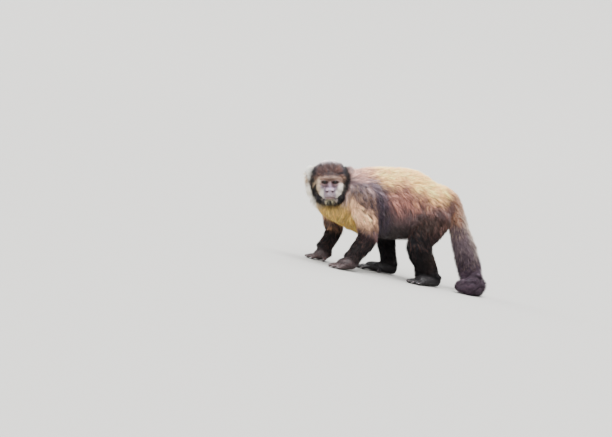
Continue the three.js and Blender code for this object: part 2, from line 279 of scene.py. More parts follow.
trunkRows = np.array([  # y, top, bottom
    (-220, 206, 122), (-188, 208, 101), (-152, 222, 88), (-119, 231, 79), (-70, 241, 81), (-25, 248, 85),
    (8, 247, 90), (44, 240, 101), (70, 235, 124), (90, 231, 150),
])


def alongLine(points, name):  # for each point: direction of the line, share of its length
    line = np.array(lines[name], dtype=float)
    steps = np.diff(line, axis=0)
    lengths = np.linalg.norm(steps, axis=1)
    gone = np.concatenate([[0], np.cumsum(lengths)])
    away = points[:, None, :] - line[None, :-1, :]
    t = np.clip((away * steps).sum(-1) / lengths ** 2, 0, 1)
    distance = np.linalg.norm(away - t[..., None] * steps, axis=-1)
    nearest = distance.argmin(axis=1)
    weight = np.exp(-(distance - distance.min(axis=1, keepdims=True)) / 7.0)
    aim = unit((weight[..., None] * (steps / lengths[:, None])[None]).sum(axis=1))
    place = (gone[nearest] + t[np.arange(len(points)), nearest] * lengths[nearest]) / gone[-1]
    return aim, place


def heightShare(points):  # 0 along the belly, 1 along the spine
    top = np.interp(points[:, 1], trunkRows[:, 0], trunkRows[:, 1])
    bottom = np.interp(points[:, 1], trunkRows[:, 0], trunkRows[:, 2])
    return (points[:, 2] - bottom) / (top - bottom)


# The face as heights ahead of the head's middle: rounded masses, then folds and features.
faceDomes = [  # middle, half sizes, fullness
    ((0, -12, -2), (37.5, 42, 45), 2.3),
    ((0, 5, -29), (29, 23, 19), 2.2),
    ((0, 25.5, 9.5), (19.5, 9, 5.5), 2),
    ((19.5, 17, -11), (9, 13, 9), 2),
    ((-19.5, 17, -11), (9, 13, 9), 2),
    ((0, 27, -25), (15.5, 20.5, 13), 2.2),
    ((0, 28, -39), (11.5, 12, 8), 2),
    ((0, 29, -12), (4.8, 12.5, 12), 2),
    ((0, 41.0, -17.3), (9.6, 7.4, 5.0), 2.2),
]
faceBumps = [  # mm out from the middle and up, half sizes, height ahead
    ((11.5, 10.8), (9, 2.6), 1.3),  # brow
    ((0, 9.5), (1.3, 4.5), -0.8),  # furrow between the brows
    ((11.7, -0.5), (8.6, 6.2), -2.4),  # eye socket
    ((7.4, -17.6), (2.3, 2.4), 1.9),  # wing of the nose
    ((10.8, -18.5), (1.2, 3.8), -1.5),  # groove behind the wing
    ((0, -19.0), (1.3, 3.2), -0.7),  # dip between the nostrils
    ((0, -24.2), (6, 1.5), -0.9),  # under the nose
    ((0, -27), (0.9, 3), -0.4),  # groove of the upper lip
    ((0, -37.4), (6.5, 1.2), -0.9),  # under the lower lip
]
foreheadCreases = (14.5, 17.6, 20.8)
maskRows = np.array([  # height in the head's axes, half width
    (-40, 9), (-37, 11.5), (-34, 14.8), (-30, 19.1), (-25, 24.1), (-17, 27.8), (-8, 29), (2, 28.6),
    (14, 28.4),
])


def maskShare(inHead, wander=0.0):  # 1 on the pale face inside its dark ring of hair
    out = np.abs(inHead[:, 0])
    y, z = inHead[:, 1], inHead[:, 2]
    edge = np.interp(z, maskRows[:, 0], maskRows[:, 1]) + wander
    return fade(out, edge - 2.2, edge + 0.6) * ramp(y, 2, 10) * ramp(z, -40, -38) * fade(z, 9, 15)


def dome(x, z, middle, half, power):
    q = np.abs((x - middle[0]) / half[0]) ** power + np.abs((z - middle[2]) / half[2]) ** power
    near = np.minimum(q, 0.94)
    return middle[1] + half[1] * ((1 - near) ** (1 / power) - (q - near) * 1.1)


def eyeShare(x, z):  # under 1 inside the opening between the lids
    out = np.abs(x) - eye["across"]
    up = z - 0.06 * out
    tall = np.where(up > 0, eye["above"], eye["below"])
    return (np.abs(out) / eye["halfWidth"]) ** 2.1 + (np.abs(up) / tall) ** 2.1


def mouthLine(x):
    return -31.8 - 0.008 * x * x


def nostrilShare(out, z, up, half):
    return bump(out, z + 0.35 * (out - 6), (6, up), half)


def faceHeight(x, z):
    out = np.abs(x)
    stack = np.stack([dome(x, z, *row) for row in faceDomes])
    height = np.log(np.exp(0.8 * np.maximum(stack, -40)).sum(axis=0)) / 0.8  # masses run into each other
    for middle, half, ahead in faceBumps:
        height += ahead * bump(out, z, middle, half)
    height -= 4.4 * nostrilShare(out, z, -20.4, (2.7, 1.6))
    ring = np.hypot((out - eye["across"]) / 1.15, z + 0.5)
    height -= 0.7 * ridge(ring - 8.4, 0.9) * ramp(-z, 0, 3)  # bag under the eye
    fold = np.clip(((out - 8) * 6 + (-19 - z) * 12) / 180, 0, 1)  # from the nose to beside the mouth
    height -= 0.9 * np.exp(-(((out - 8 - 6 * fold) ** 2 + (z + 19 + 12 * fold) ** 2) / 1.5))
    line = z - mouthLine(x)
    height -= 2.6 * ridge(line, 0.85) * fade(out, 9.5, 12.5)
    height += 0.8 * ridge(line - 2.1, 1.3) * fade(out, 8, 13)  # upper lip
    height += 1.4 * ridge(line + 2.5, 1.6) * fade(out, 6, 11)  # lower lip
    for level in foreheadCreases:
        height -= 0.35 * ridge(z - level - 0.008 * x * x, 0.6) * fade(out, 10, 18)
    return height


def withLids(x, z, height):
    opening = eyeShare(x, z)
    reach = (np.abs(x) - eye["across"]) ** 2 + z ** 2
    lidRadius = eye["radius"] + 0.95
    lid = eye["ahead"] + np.sqrt(np.maximum(lidRadius ** 2 - reach, 0))
    joined = np.log(np.exp(1.3 * height) + np.exp(1.3 * lid)) / 1.3
    covered = np.where(reach < lidRadius ** 2 * 0.97, joined, height)
    covered += 0.35 * ridge(opening - 1.2, 0.3)  # edge of the lids
    covered -= 0.75 * ridge(opening - 3.1, 0.8) * ramp(z, 0, 2)  # crease over the eye
    inside = eye["ahead"] + np.sqrt(np.maximum(eye["radius"] ** 2 - reach, 0)) - 1.4
    return np.where(opening < 0.97, inside, covered)


# The skin: one closed body from all the flesh solids, then lowered by the depth of the coat.
class Surface:
    def __init__(self, mesh):
        self.mesh = mesh
        self.count = len(mesh.vertices)
        edges = np.empty(len(mesh.edges) * 2, dtype=np.int32)
        mesh.edges.foreach_get("vertices", edges)
        self.edges = edges.reshape(-1, 2)
        self.degree = np.maximum(np.bincount(edges, minlength=self.count), 1)

    def points(self):
        flat = np.empty(self.count * 3)
        self.mesh.vertices.foreach_get("co", flat)
        return toDrawing(flat.reshape(-1, 3))

    def place(self, points):
        self.mesh.vertices.foreach_set("co", toWorld(points).ravel())
        self.mesh.update()

    def normals(self):
        flat = np.empty(self.count * 3)
        self.mesh.vertex_normals.foreach_get("vector", flat)
        return flat.reshape(-1, 3)

    def around(self, field):  # mean of each vertex's neighbours
        one, two = self.edges[:, 0], self.edges[:, 1]
        columns = field.reshape(self.count, -1)
        made = [np.bincount(one, column[two], self.count) + np.bincount(two, column[one], self.count)
                for column in columns.T]
        return (np.stack(made, axis=1) / self.degree[:, None]).reshape(field.shape)

    def relaxed(self, field, steps, amount=0.6):
        amount = np.asarray(amount, dtype=float)
        if amount.ndim == 1 and field.ndim == 2:
            amount = amount[:, None]
        for _ in range(steps):
            field = field + (self.around(field) - field) * amount
        return field

    def alongLie(self, field, lie, steps):  # draws a field out along the lie of the coat, into streaks
        one, two = self.edges[:, 0], self.edges[:, 1]
        spots = self.points()
        along = np.abs((unit(spots[two] - spots[one]) * unit(lie[one] + lie[two])).sum(axis=1)) ** 16
        kept = 0.3
        total = np.bincount(one, along, self.count) + np.bincount(two, along, self.count) + kept
        for _ in range(steps):
            near = np.bincount(one, along * field[two], self.count)
            near += np.bincount(two, along * field[one], self.count)
            field = (near + kept * field) / total
        field = field - self.relaxed(field, 8)
        return (field - field.mean()) / field.std()


solidPoints, solidFaces, solidOwner = [], [], []
for number, name in enumerate(nodeNames):
    if name in fleshNames:
        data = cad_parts[name].data
        data.calc_loop_triangles()
        base = len(solidPoints)
        solidPoints += [v.co[:] for v in data.vertices]
        solidFaces += [[base + i for i in t.vertices] for t in data.loop_triangles]
        solidOwner += [number] * len(data.loop_triangles)
solidTree = BVHTree.FromPolygons(solidPoints, solidFaces)
solidOwner = np.array(solidOwner)


def nearestSolid(points):  # owner of each point, and the nearest place on the solids
    found = [solidTree.find_nearest(p) for p in toWorld(points).tolist()]
    return solidOwner[[f[2] for f in found]], toDrawing([f[0][:] for f in found])


def rawSkin():
    bm = bmesh.new()
    for name in fleshNames:
        bm.from_mesh(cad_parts[name].data)
    bmesh.ops.remove_doubles(bm, verts=bm.verts, dist=1e-6)
    mesh = bpy.data.meshes.new("flesh")
    bm.to_mesh(mesh)
    bm.free()
    holder = addPiece("flesh", mesh)
    remesh = holder.modifiers.new("even", "REMESH")
    remesh.mode = "VOXEL"
    remesh.voxel_size = 0.0027
    made = bpy.data.meshes.new_from_object(holder.evaluated_get(bpy.context.evaluated_depsgraph_get()))
    bpy.data.objects.remove(holder)
    return made


def largestBody(bm):
    seen, best = set(), []
    for start in bm.verts:
        if start.index in seen:
            continue
        body, todo = [], [start]
        seen.add(start.index)
        while todo:
            vert = todo.pop()
            body.append(vert)
            for edge in vert.link_edges:
                other = edge.other_vert(vert)
                if other.index not in seen:
                    seen.add(other.index)
                    todo.append(other)
        if len(body) > len(best):
            best = body
    kept = set(best)
    bmesh.ops.delete(bm, geom=[v for v in bm.verts if v not in kept], context="VERTS")


def refine(mesh):  # finer faces where the face, the hands and the feet need them
    bm = bmesh.new()
    bm.from_mesh(mesh)
    bm.verts.ensure_lookup_table()
    largestBody(bm)
    bm.verts.index_update()
    points = toDrawing([v.co[:] for v in bm.verts])
    owner, _ = nearestSolid(points)
    kinds = np.array([kindOf(n) for n in nodeNames])[owner]
    x, y, z = toHead(points).T
    front = (y > 9) & (np.abs(x) < 30) & (z > -46) & (z < 24)
    front &= np.isin(kinds, ["face", "muzzle", "chin", "head"])
    for chosen, cuts in ((np.isin(kinds, ["hand", "foot"]), 1), (front, 3)):
        edges = [e for e in bm.edges if all(v.index < len(chosen) and chosen[v.index] for v in e.verts)]
        bmesh.ops.subdivide_edges(bm, edges=edges, cuts=cuts, use_grid_fill=True)
        bm.verts.index_update()
    bmesh.ops.triangulate(bm, faces=bm.faces)
    made = bpy.data.meshes.new("skin")
    bm.to_mesh(made)
    bm.free()
    return made


rough = Surface(rawSkin())
rough.place(rough.relaxed(rough.points(), 3, 0.5))
skin = Surface(refine(rough.mesh))
points = skin.points()
owner, onSolid = nearestSolid(points)
ownerNames = np.array(nodeNames)[owner]
kinds = np.array([kindOf(name) for name in nodeNames])[owner]
fine = np.isin(kinds, ["hand", "foot"])
points[fine] = onSolid[fine]
points = skin.relaxed(points, 3, np.where(fine, 0.4, 0.5))
skin.place(points)
print("skin faces", len(skin.mesh.polygons), "bodies joined")

fields = {key: np.array([coat[kind][n] for kind in kinds]) for n, key in enumerate(coatKeys)}
for key in coatKeys:
    fields[key] = skin.relaxed(fields[key], 10, 0.6)


def towards(part, **values):  # takes the coat's facts to these values where part is 1
    for key, value in values.items():
        fields[key] += (value - fields[key]) * part


local = toHead(points)
x, y, z = local.T
pale = (kinds == "head") * ramp(-y, 5, 10) * fade(-y, 22, 32) * fade(z, 24, 36)
pale *= ramp(np.hypot(x, z), 26, 32)
towards(pale, stand=0.7, length=12, number=2.2, width=1.0, tone=0.1)
sideburn = (kinds == "head") * ramp(np.abs(x), 26, 31) * ramp(y, -5, 0) * fade(z, 14, 28)
towards(sideburn, stand=0.26, length=9.5)
fields["stand"] += 0.16 * np.isin(kinds, ["belly", "chest"]) * fade(heightShare(points), 0.0, 0.2)
mask = maskShare(local)
towards(mask, stand=0.08, length=3.4, depth=1.5, width=0.48, number=1.3, tone=0.18)
fields["length"] -= 1.4 * ramp(-z, 26, 34) * mask
ruff = (kinds == "neck") * fade(np.linalg.norm(local, axis=1), 52, 62) * ramp(z, -52, -40)
towards(ruff, stand=0.6, length=16.0)
depthLeft = fields["depth"] * (1 - 0.35 * ruff)
bodyShare = np.where(np.isin(kinds, ["hand", "foot", "ear", "muzzle", "face", "chin"]), 0.15, 0.6)
depthSteps = 5
for _ in range(depthSteps):
    points = points - skin.normals() * (depthLeft / depthSteps)[:, None]
    points = skin.relaxed(points, 2, bodyShare)
    skin.place(points)

# Digits of the hands and feet, each narrowed to its own finger or toe.
digitFacts = {"root": 3.9, "knuckle": 4.1, "tip": 3.2}
digitRows = {  # across toward the outer side, ahead, turn outward, length; the inner one first
    "hand": [(-14, -14, -46, 16), (-10, 0, -14, 21), (-3.5, 3, -3, 25), (4, 2, 5, 24), (11, -2, 14, 19)],
    "foot": [(-12, -20, -48, 24), (-10, 4, -9, 25), (-3.5, 7, -2, 28), (3.5, 5, 5, 27), (10.5, 0, 12, 23)],
}
limbEnds = {  # middle of the palm or sole, turn outward, side
    "hand_left": ((74, -174, 11), 9, 1),
    "hand_right": ((-51, -169, 11), 0, -1),
    "foot_left": ((74, 31, 10), 24, 1),
    "foot_right": ((-50, -32, 10), 5, -1),
}


def digitLines(name):  # root, knuckle and tip of each digit
    middle, turn, side = limbEnds[name]
    ahead = np.array([math.sin(math.radians(turn)), -math.cos(math.radians(turn)), 0])
    outward = np.array([-ahead[1], ahead[0], 0])
    made = []
    for across, onward, bend, length in digitRows[kindOf(name)]:
        way = math.radians(turn + side * bend)
        aim = np.array([math.sin(way), -math.cos(way), 0])
        root = np.array(middle) + outward * side * across + ahead * onward - np.array([0, 0, 3])
        tip = root + aim * (length + 1)
        tip[2] = digitFacts["tip"]
        knuckle = (root + tip) / 2 + np.array([0, 0, 1.5])
        made.append(np.array([root, knuckle, tip]))
    return made


onDigit = np.zeros(len(points))
for name in limbEnds:
    here = np.flatnonzero(ownerNames == name)
    spot = points[here]
    nearest = np.full(len(here), 1e9)
    middle = spot.copy()
    along = np.zeros(len(here))
    for line in digitLines(name):
        for k in range(2):
            step = line[k + 1] - line[k]
            t = np.clip(((spot - line[k]) @ step) / (step @ step), 0, 1)
            onLine = line[k] + t[:, None] * step
            away = np.linalg.norm(spot - onLine, axis=1)
            closer = away < nearest
            nearest[closer] = away[closer]
            middle[closer] = onLine[closer]
            along[closer] = ((k + t) / 2)[closer]
    radius = np.interp(along, (0, 0.5, 1), (digitFacts["root"], digitFacts["knuckle"], digitFacts["tip"]))
    pull = np.minimum(radius / np.maximum(nearest, 1e-6), 1)
    onDigit[here] = ramp(along, 0.05, 0.35)
    points[here] = mixed(spot, middle + (spot - middle) * pull[:, None], onDigit[here])
points = skin.relaxed(points, 1, 0.35 * onDigit)
fields["length"] *= 1 - 0.4 * onDigit
fields["width"] *= 1 - 0.2 * onDigit
skin.place(points)

# The face takes its own heights inside the mask, and an edge round each eye.
local = toHead(points)
x, y, z = local.T
weight = fade(np.abs(x), 23, 29) * ramp(z, -46, -42) * fade(z, 13, 21) * ramp(y, 8, 14)
for step in range(4):
    target = local.copy()
    target[:, 1] = faceHeight(local[:, 0], local[:, 2])
    local = mixed(local, target, weight)
    if step < 3:
        local = skin.relaxed(local, 1, weight * 0.5)
opening = eyeShare(local[:, 0], local[:, 2])
rim = (np.abs(opening - 1) < 0.2) & (weight > 0.5) & (np.abs(local[:, 2]) < 8)
for _ in range(4):
    pull = eyeShare(local[rim, 0], local[rim, 2]) ** (-1 / 2.1)
    side = np.sign(local[rim, 0]) * eye["across"]
    local[rim, 0] = side + (local[rim, 0] - side) * pull
    local[rim, 2] *= pull
lidded = withLids(local[:, 0], local[:, 2], faceHeight(local[:, 0], local[:, 2]))
local[:, 1] += (lidded - local[:, 1]) * (weight > 0.5)
points = fromHead(local)
points[:, 2] = np.maximum(points[:, 2], 0.05)
skin.place(points)
print("face shaped")


# Lie of the coat at each vertex of the skin.
def limbFlow(kind, name, spot):
    aim = alongLine(spot, ("arm" if kind in armKinds else "leg") + name[name.rindex("_"):])[0]
    if kind in ("upper_arm", "thigh"):
        aim = aim + np.array([0, 0.35 if kind == "upper_arm" else 0.7, -0.25])
    return aim


def trunkFlow(spot, h):
    down = 0.12 + 1.7 * ramp(1 - h, 0.15, 0.7) * ramp(h, -0.1, 0.25)
    aim = np.stack([np.zeros(len(h)), np.ones(len(h)), -down], axis=1)
    return mixed(aim, np.array([0, 0.15, -1.0]), fade(spot[:, 1], -185, -140) * fade(h, 0.4, 0.7))


def neckFlow(inHead, h):
    x, z = inHead[:, 0], inHead[:, 2]
    body = mixed(np.array([0, 0.2, -1.0]), np.array([0, 1.0, -0.35]), ramp(h, 0.45, 0.85))
    spread = unit(np.stack([x, -0.45 * np.hypot(x, z), z - 10], axis=1))
    return mixed(body, spread @ headAxes.T, fade(np.linalg.norm(inHead, axis=1), 50, 66))


def earFlow(inHead):
    x = inHead[:, 0]
    return unit(np.stack([x * 0.35, np.full(len(x), -10.0), np.full(len(x), -4.0)], axis=1)) @ headAxes.T


def headFlow(inHead):
    x, y, z = inHead.T
    out = np.abs(x)
    same = np.ones(len(x))
    crown = np.stack([x * 0.012, -same, 0.45 * same], axis=1)
    side = np.stack([np.sign(x) * 0.1, -0.8 * same, -same], axis=1)
    beard = np.stack([x * 0.01, -0.15 * same, -same], axis=1)
    cheek = np.stack([x * 0.05, -0.3 * same, (z + 8) * 0.045], axis=1)
    aim = mixed(side, crown, ramp(z, 6, 22))
    aim = mixed(aim, beard, ramp(-z, 34, 42) * fade(out, 14, 24))
    aim = mixed(aim, unit(cheek), fade(out, 22, 32) * ramp(y, 10, 18) * fade(z, 8, 16))
    return aim @ headAxes.T


normals = skin.normals()
flow = np.zeros_like(points)
heights = heightShare(points)
for name in fleshNames:
    here = ownerNames == name
    kind = kindOf(name)
    if kind in armKinds + legKinds:
        flow[here] = limbFlow(kind, name, points[here])
    elif kind.startswith("tail"):
        flow[here] = alongLine(points[here], "tail")[0]
    elif kind in ("chest", "belly", "rump"):
        flow[here] = trunkFlow(points[here], heights[here])
    elif kind == "neck":
        flow[here] = neckFlow(local[here], heights[here])
    elif kind == "ear":
        flow[here] = earFlow(local[here])
    else:
        flow[here] = headFlow(local[here])
flow = unit(flow)
inFace = weight > 0.3
flow = skin.relaxed(flow, 12, np.where(inFace, 0.1, 0.6))
flow = unit(flow - (flow * normals).sum(axis=1, keepdims=True) * normals)

noise = chance.normal(size=(2, skin.count))
locks = 0.95 * skin.alongLie(skin.relaxed(noise[0], 1, 0.5), flow, 22)
locks += 0.22 * skin.alongLie(skin.relaxed(noise[1], 12), flow, 60)
print("lie of the coat, locks from", locks.min().round(1), "to", locks.max().round(1))

# Markings, with some painted shade and highlights, as colours of the hair at each vertex. Skin and coat both
# read them.
tones = {name: srgb(code) for name, code in {
    "saddle": "#ffcd84", "spine": "#ffbf86", "nape": "#ad8980", "band": "#251c2e", "bandTop": "#786d7e",
    "rufous": "#594244", "tan": "#a06a5d", "belly": "#1a1215", "breast": "#d0ab5a", "arm": "#f1be93",
    "thigh": "#2d1f19", "limb": "#07060a", "elbow": "#452f36", "foot": "#0c0a0d", "tailRoot": "#936952",
    "tailMiddle": "#62545b", "tailTip": "#dccbbb", "tailEnd": "#382c37", "crown": "#18151e",
    "crownTip": "#f0e2e4", "forehead": "#5c423b", "burn": "#0d090b", "beard": "#0c0a0e", "halo": "#fffaf0",
    "cheek": "#eee7dc", "strip": "#c6b198", "muzzle": "#8f808b", "nose": "#6c5d73", "brow": "#8a6f60",
    "rim": "#33262a", "socket": "#84666a", "lips": "#86706d", "chin": "#837d68", "collar": "#c4a67e",
    "ruffSide": "#b89a94", "nostril": "#2a1e24", "digit": "#3a2b2b", "toe": "#161215", "lilac": "#857882",
    "frown": "#5d4a43", "noseSide": "#655767", "earSkin": "#6a5650",
}.items()}
bandRows = np.array([  # z, then y of the front and back edges of the dark band behind the shoulder
    (92, -88, -58), (112, -107, -63), (128, -121, -66), (140, -134, -68), (147, -148, -71), (153, -165, -74),
    (165, -174, -81), (176, -182, -90), (188, -186, -102), (200, -188, -126), (212, -190, -160),
], dtype=float)


def layered(tint, layers):  # each layer is a tone and how far it covers what lies under it
    for tone, part in layers:
        tint = mixed(tint, tones[tone] if isinstance(tone, str) else tone, part)
    return tint


def fringe(x, low, high):  # pale hair round the head, whiter toward its right side
    return mixed(tones["ruffSide"], tones["halo"], ramp(x, low, high))


def withBand(tint, spot, lock):
    y, z = spot[:, 1], spot[:, 2]
    wander = waves(spot, 13, 6) * 3 + lock * 5
    front = np.interp(z, bandRows[:, 0], bandRows[:, 1]) + wander
    back = np.interp(z, bandRows[:, 0], bandRows[:, 2]) + wander
    part = ramp(y - front, -5, 6) * fade(y - back, -9, 9)
    part *= ramp(np.abs(spot[:, 0]), 16, 32) * fade(z, 200, 214)
    bandTone = layered(tones["band"], [
        ("bandTop", ramp(z + lock * 6, 172, 202)),
        ("nape", ramp(z, 168, 196) * ramp(lock, 0.1, 1.8) * 0.5),
    ])
    return mixed(tint, bandTone, part * 0.94)


# Each of these takes what is known at its part's vertices: spot and inHead in mm, height from
# belly to spine, and lock from dark to light.
def trunkTones(at):
    spot, lock = at["spot"], at["lock"]
    y, z = spot[:, 1], spot[:, 2]
    high = at["height"] + (waves(spot, 26, 3) * 0.03 + lock * 0.045)
    loose = z + waves(spot, 26, 3) * 4 + lock * 8
    # Nearly black along the bottom of the trunk: dark fur with painted shade under the body.
    under = layered(tones["belly"], [
        ("rufous", ramp(high, 0.2, 0.44)),
        ("tan", ramp(high, 0.4, 0.62) * ramp(y, -120, -70) * 0.8),
        ("saddle", ramp(high - 0.12 * fade(y, -70, 0), 0.56, 0.76) * ramp(y, -150, -105)),
        ("nape", ramp(high, 0.4, 0.65) * fade(y, -150, -105)),
        ("spine", ramp(high, 0.82, 0.97) * ramp(y, -185, -120) * 0.6),
        ("breast", fade(y, -128, -100) * fade(high, 0.42, 0.6)),
    ])
    return layered(withBand(under, spot, lock), [
        ("tailRoot", ramp(y, 50, 86) * 0.7),
        # painted shade low on the flank by the groin
        ("belly", bump(y, z, (-16, 104), (34, 18)) * 0.9),
        ("rufous", ramp(y, 20, 70) * fade(loose, 186, 222) * 0.8),
        ("thigh", ramp(y, -30, 20) * fade(loose, 146, 192) * 0.75),
    ])


def faceTones(inHead):
    x, y, z = inHead.T
    out = np.abs(x)
    return layered(np.repeat(tones["brow"][None], len(inHead), axis=0), [
        ("lilac", ramp(out, 6, 9) * fade(out, 17, 23) * ramp(-z, 4, 8)),
        ("cheek", ramp(-z, 11, 19) * ramp(out, 10, 15)),
        ("strip", ramp(x, 19, 22) * fade(z, 4, 10) * ramp(z, -30, -22)),
        ("cheek", ramp(-x, 15, 19) * ramp(-z, 0, 5)),
        ("socket", bump(out, z, (11.7, -2.5), (9.5, 6.5)) * 0.9),
        ("muzzle", bump(x, z, (0, -26), (13, 8))),
        ("nose", bump(x, z, (0, -12), (7, 10))),
        ("chin", ramp(-z, 35, 38)),
        # painted shade in the furrow between the brows
        ("frown", bump(x, z, (0, 9), (5.5, 5)) * 0.75),
        # painted shade along the sides of the nose
        ("noseSide", bump(out, z, (7.2, -13), (2.6, 7)) * 0.8),
        ("lips", ridge(z - mouthLine(x) + 1.0, 2.0) * fade(out, 9, 12)),
    ])


def headTones(at):
    inHead, lock = at["inHead"], at["lock"]
    x, y, z = inHead.T
    out = np.abs(x)
    aside = ramp(np.hypot(x, z), 26, 33)
    streak = 0.5 * waves(np.stack([x, y * 0.3, z * 0.25], axis=1), 5.5, 5) + 0.9 * lock
    brow = ramp(z, 8, 14) * fade(z, 22, 38) * fade(out - np.minimum(x, 0) * 0.2, 20, 28) * ramp(y, 0, 10)
    burn = np.maximum(ramp(out, 24, 29) * fade(z, 26, 40), ramp(-z, 26, 34))
    mask = maskShare(inHead, lock * 0.9 * ramp(z, -28, -16) - 0.3 * (x < 0))
    return layered(np.repeat(tones["crown"][None], len(inHead), axis=0), [
        # pale hair tips with a painted highlight along the top of the crown
        ("crownTip", ramp(z, 31, 41) * ramp(y, -24, -8) * np.clip(0.72 + 0.35 * streak, 0, 1)),
        ("forehead", brow * np.clip(0.5 + 0.4 * streak, 0, 1)),
        ("burn", burn),
        ("beard", ramp(-z, 22, 38)),
        (fringe(x, -14, 8), ramp(-y, 5, 10) * fade(z, 24, 36) * aside),
        ("collar", ramp(-y, 15, 24) * fade(z, 20, 34) * aside * 0.85),
        ("nape", ramp(-y, 22, 34) * ramp(-z, -26, 0)),
        (faceTones(inHead), mask),
    ])


def uneven(at):  # height with an edge that wanders from lock to lock
    return at["spot"][:, 2] + waves(at["spot"], 16, 8) * 2.5 + at["lock"] * 4


def neckTones(at):
    inHead = at["inHead"]
    ruffPart = fade(np.linalg.norm(inHead, axis=1), 52, 62) * ramp(inHead[:, 2], -50, -34)
    paleHair = mixed(fringe(inHead[:, 0], -14, 8), tones["collar"], ramp(-inHead[:, 1], 12, 22))
    return layered(tones["breast"], [
        (trunkTones(at), ramp(at["height"], 0.42, 0.62)),
        (paleHair, ruffPart * 0.95),
    ])


def upperArmTones(at):
    spot, lock = at["spot"], at["lock"]
    z = uneven(at) + 3 * (spot[:, 0] < 0)
    shoulder = layered(tones["elbow"], [("arm", ramp(z, 98, 128)), ("elbow", ramp(-lock, 0.1, 1.9) * 0.6)])
    rear = ramp(spot[:, 1] - np.interp(z, (80, 110, 150), (-122, -124, -122)), -6, 8)
    made = layered(tones["limb"], [
        (shoulder, ramp(z, 83, 102)),
        ("breast", ramp(z, 90, 120) * fade(np.abs(spot[:, 0]), 34, 46) * 0.7),
        ("elbow", rear * fade(z, 100, 134)),
    ])
    return withBand(made, spot, lock)


def forearmTones(at):
    z = uneven(at)
    return layered(tones["limb"], [
        ("elbow", np.clip(at["lock"] * 0.12, 0, 0.35)),
        ("digit", fade(z, 9, 24) * 0.7),
        ("elbow", ramp(z, 74, 92) * 0.4),
        ("arm", ramp(z, 80, 94) * (at["spot"][:, 0] < 0) * 0.6),
    ])


def thighTones(at):
    z = uneven(at)
    return layered(tones["limb"], [
        ("thigh", ramp(z, 106, 156)),
        ("rufous", ramp(z, 148, 186) * ramp(at["spot"][:, 1], -10, 40) * 0.8),
        ("rufous", ramp(at["lock"], 0.5, 2.0) * ramp(z, 95, 130) * 0.6),
    ])


def shankTones(at):
    z = uneven(at)
    sole = mixed(tones["foot"], tones["toe"], fade(z, 8, 16) * 0.6)
    return layered(tones["limb"], [
        ("thigh", bump(at["spot"][:, 1], z, (46, 68), (16, 20)) * 0.8),
        (sole, fade(z, 14, 30)),
    ])


def tailTones(at):
    spot = at["spot"]
    place = alongLine(spot, "tail")[1] + waves(spot, 20, 4) * 0.02 + at["lock"] * 0.012
    middle = np.interp(spot[:, 2], (20, 56, 106, 165, 203), (200, 194, 164, 126, 76))
    return layered(tones["tailRoot"], [
        ("tailMiddle", ramp(place, 0.08, 0.3)),
        # pale hair tips with painted light on the outer side of the tail; the inner side stays darker
        ("tailTip", ramp(spot[:, 1] - middle, -2, 16) * ramp(place, 0.05, 0.2) * 0.58),
        ("tailEnd", ramp(place, 0.31, 0.52)),
    ])


def earTones(at):
    inHead = at["inHead"]
    return mixed(tones["earSkin"], fringe(inHead[:, 0], -20, 20), ramp(inHead[:, 2], 4, 14))


tonesOf = {
    "chest": trunkTones, "belly": trunkTones, "rump": trunkTones, "neck": neckTones, "ear": earTones,
    "upper_arm": upperArmTones, "forearm": forearmTones, "hand": forearmTones, "thigh": thighTones,
    "shank": shankTones, "foot": shankTones, "tail_base": tailTones, "tail_middle": tailTones,
    "tail_low": tailTones, "tail_tip": tailTones,
}
tint = np.zeros((skin.count, 3))
for name in fleshNames:
    here = ownerNames == name
    partTones = tonesOf.get(kindOf(name), headTones)
    at = {"spot": points[here], "inHead": local[here], "height": heights[here], "lock": locks[here]}
    tint[here] = partTones(at)
tint = skin.relaxed(tint, 4, np.where(inFace, 0.05, 0.6))

# The skin under the hair is darker, with its own rims and digits, and painted shade in the nostrils and the
# mouth gap.
x, y, z = local.T
out = np.abs(x)
lidRim = ridge(eyeShare(x, z) - 1.0, 0.8) * inFace * (np.abs(z) < 8)
skinTint = layered(tint * (0.5 + 0.5 * inFace)[:, None], [
    ("rim", lidRim),
    # painted shade in the nostrils
    ("nostril", nostrilShare(out, z, -20.5, (2.8, 1.7)) * inFace),
    # painted shade in the gap of the mouth
    ("nostril", ridge(z - mouthLine(x), 0.7) * fade(out, 9.5, 12) * inFace * 0.9),
    ("digit", (kinds == "hand") * 0.75),
    ("toe", (kinds == "foot") * 0.75),
])
print("markings")


def setTint(mesh, values):
    layer = mesh.color_attributes.new("tint", "FLOAT_COLOR", "POINT")
    full = np.ones((len(values), 4))
    full[:, :3] = np.clip(values, 0, 1)
    layer.data.foreach_set("color", full.ravel())


def skinMaterial():
    made, tree = newMaterial("thin hairy skin")  # soft uneven tone, fine creases, a faint shine
    place = addNode(tree, "ShaderNodeTexCoord").outputs["Object"]
    mottle = addNode(tree, "ShaderNodeTexNoise", {"Scale": 260.0, "Detail": 4.0}, Vector=place)
    pores = addNode(tree, "ShaderNodeTexNoise", {"Scale": 1400.0, "Detail": 3.0}, Vector=place)
    cells = addNode(tree, "ShaderNodeTexVoronoi", {"Scale": 700.0, "feature": "DISTANCE_TO_EDGE"},
                    Vector=place)
    creased = addNode(tree, "ShaderNodeBump", {"Strength": 0.35, "Distance": 0.0003},
                      Height=cells.outputs[0])
    pitted = addNode(tree, "ShaderNodeBump", {"Strength": 0.4, "Distance": 0.0002}, Height=pores.outputs[0],
                     Normal=creased.outputs[0])
    shader = addNode(tree, "ShaderNodeBsdfPrincipled",
                     {"Roughness": 0.55, "Specular IOR Level": 0.4, "Subsurface Weight": 0.08,
                      "Subsurface Radius": (0.004, 0.0015, 0.001)},
                     Base_Color=varied(tree, mottle, 0.82, 1.14), Normal=pitted.outputs[0])
    finishMaterial(tree, shader)
    return made


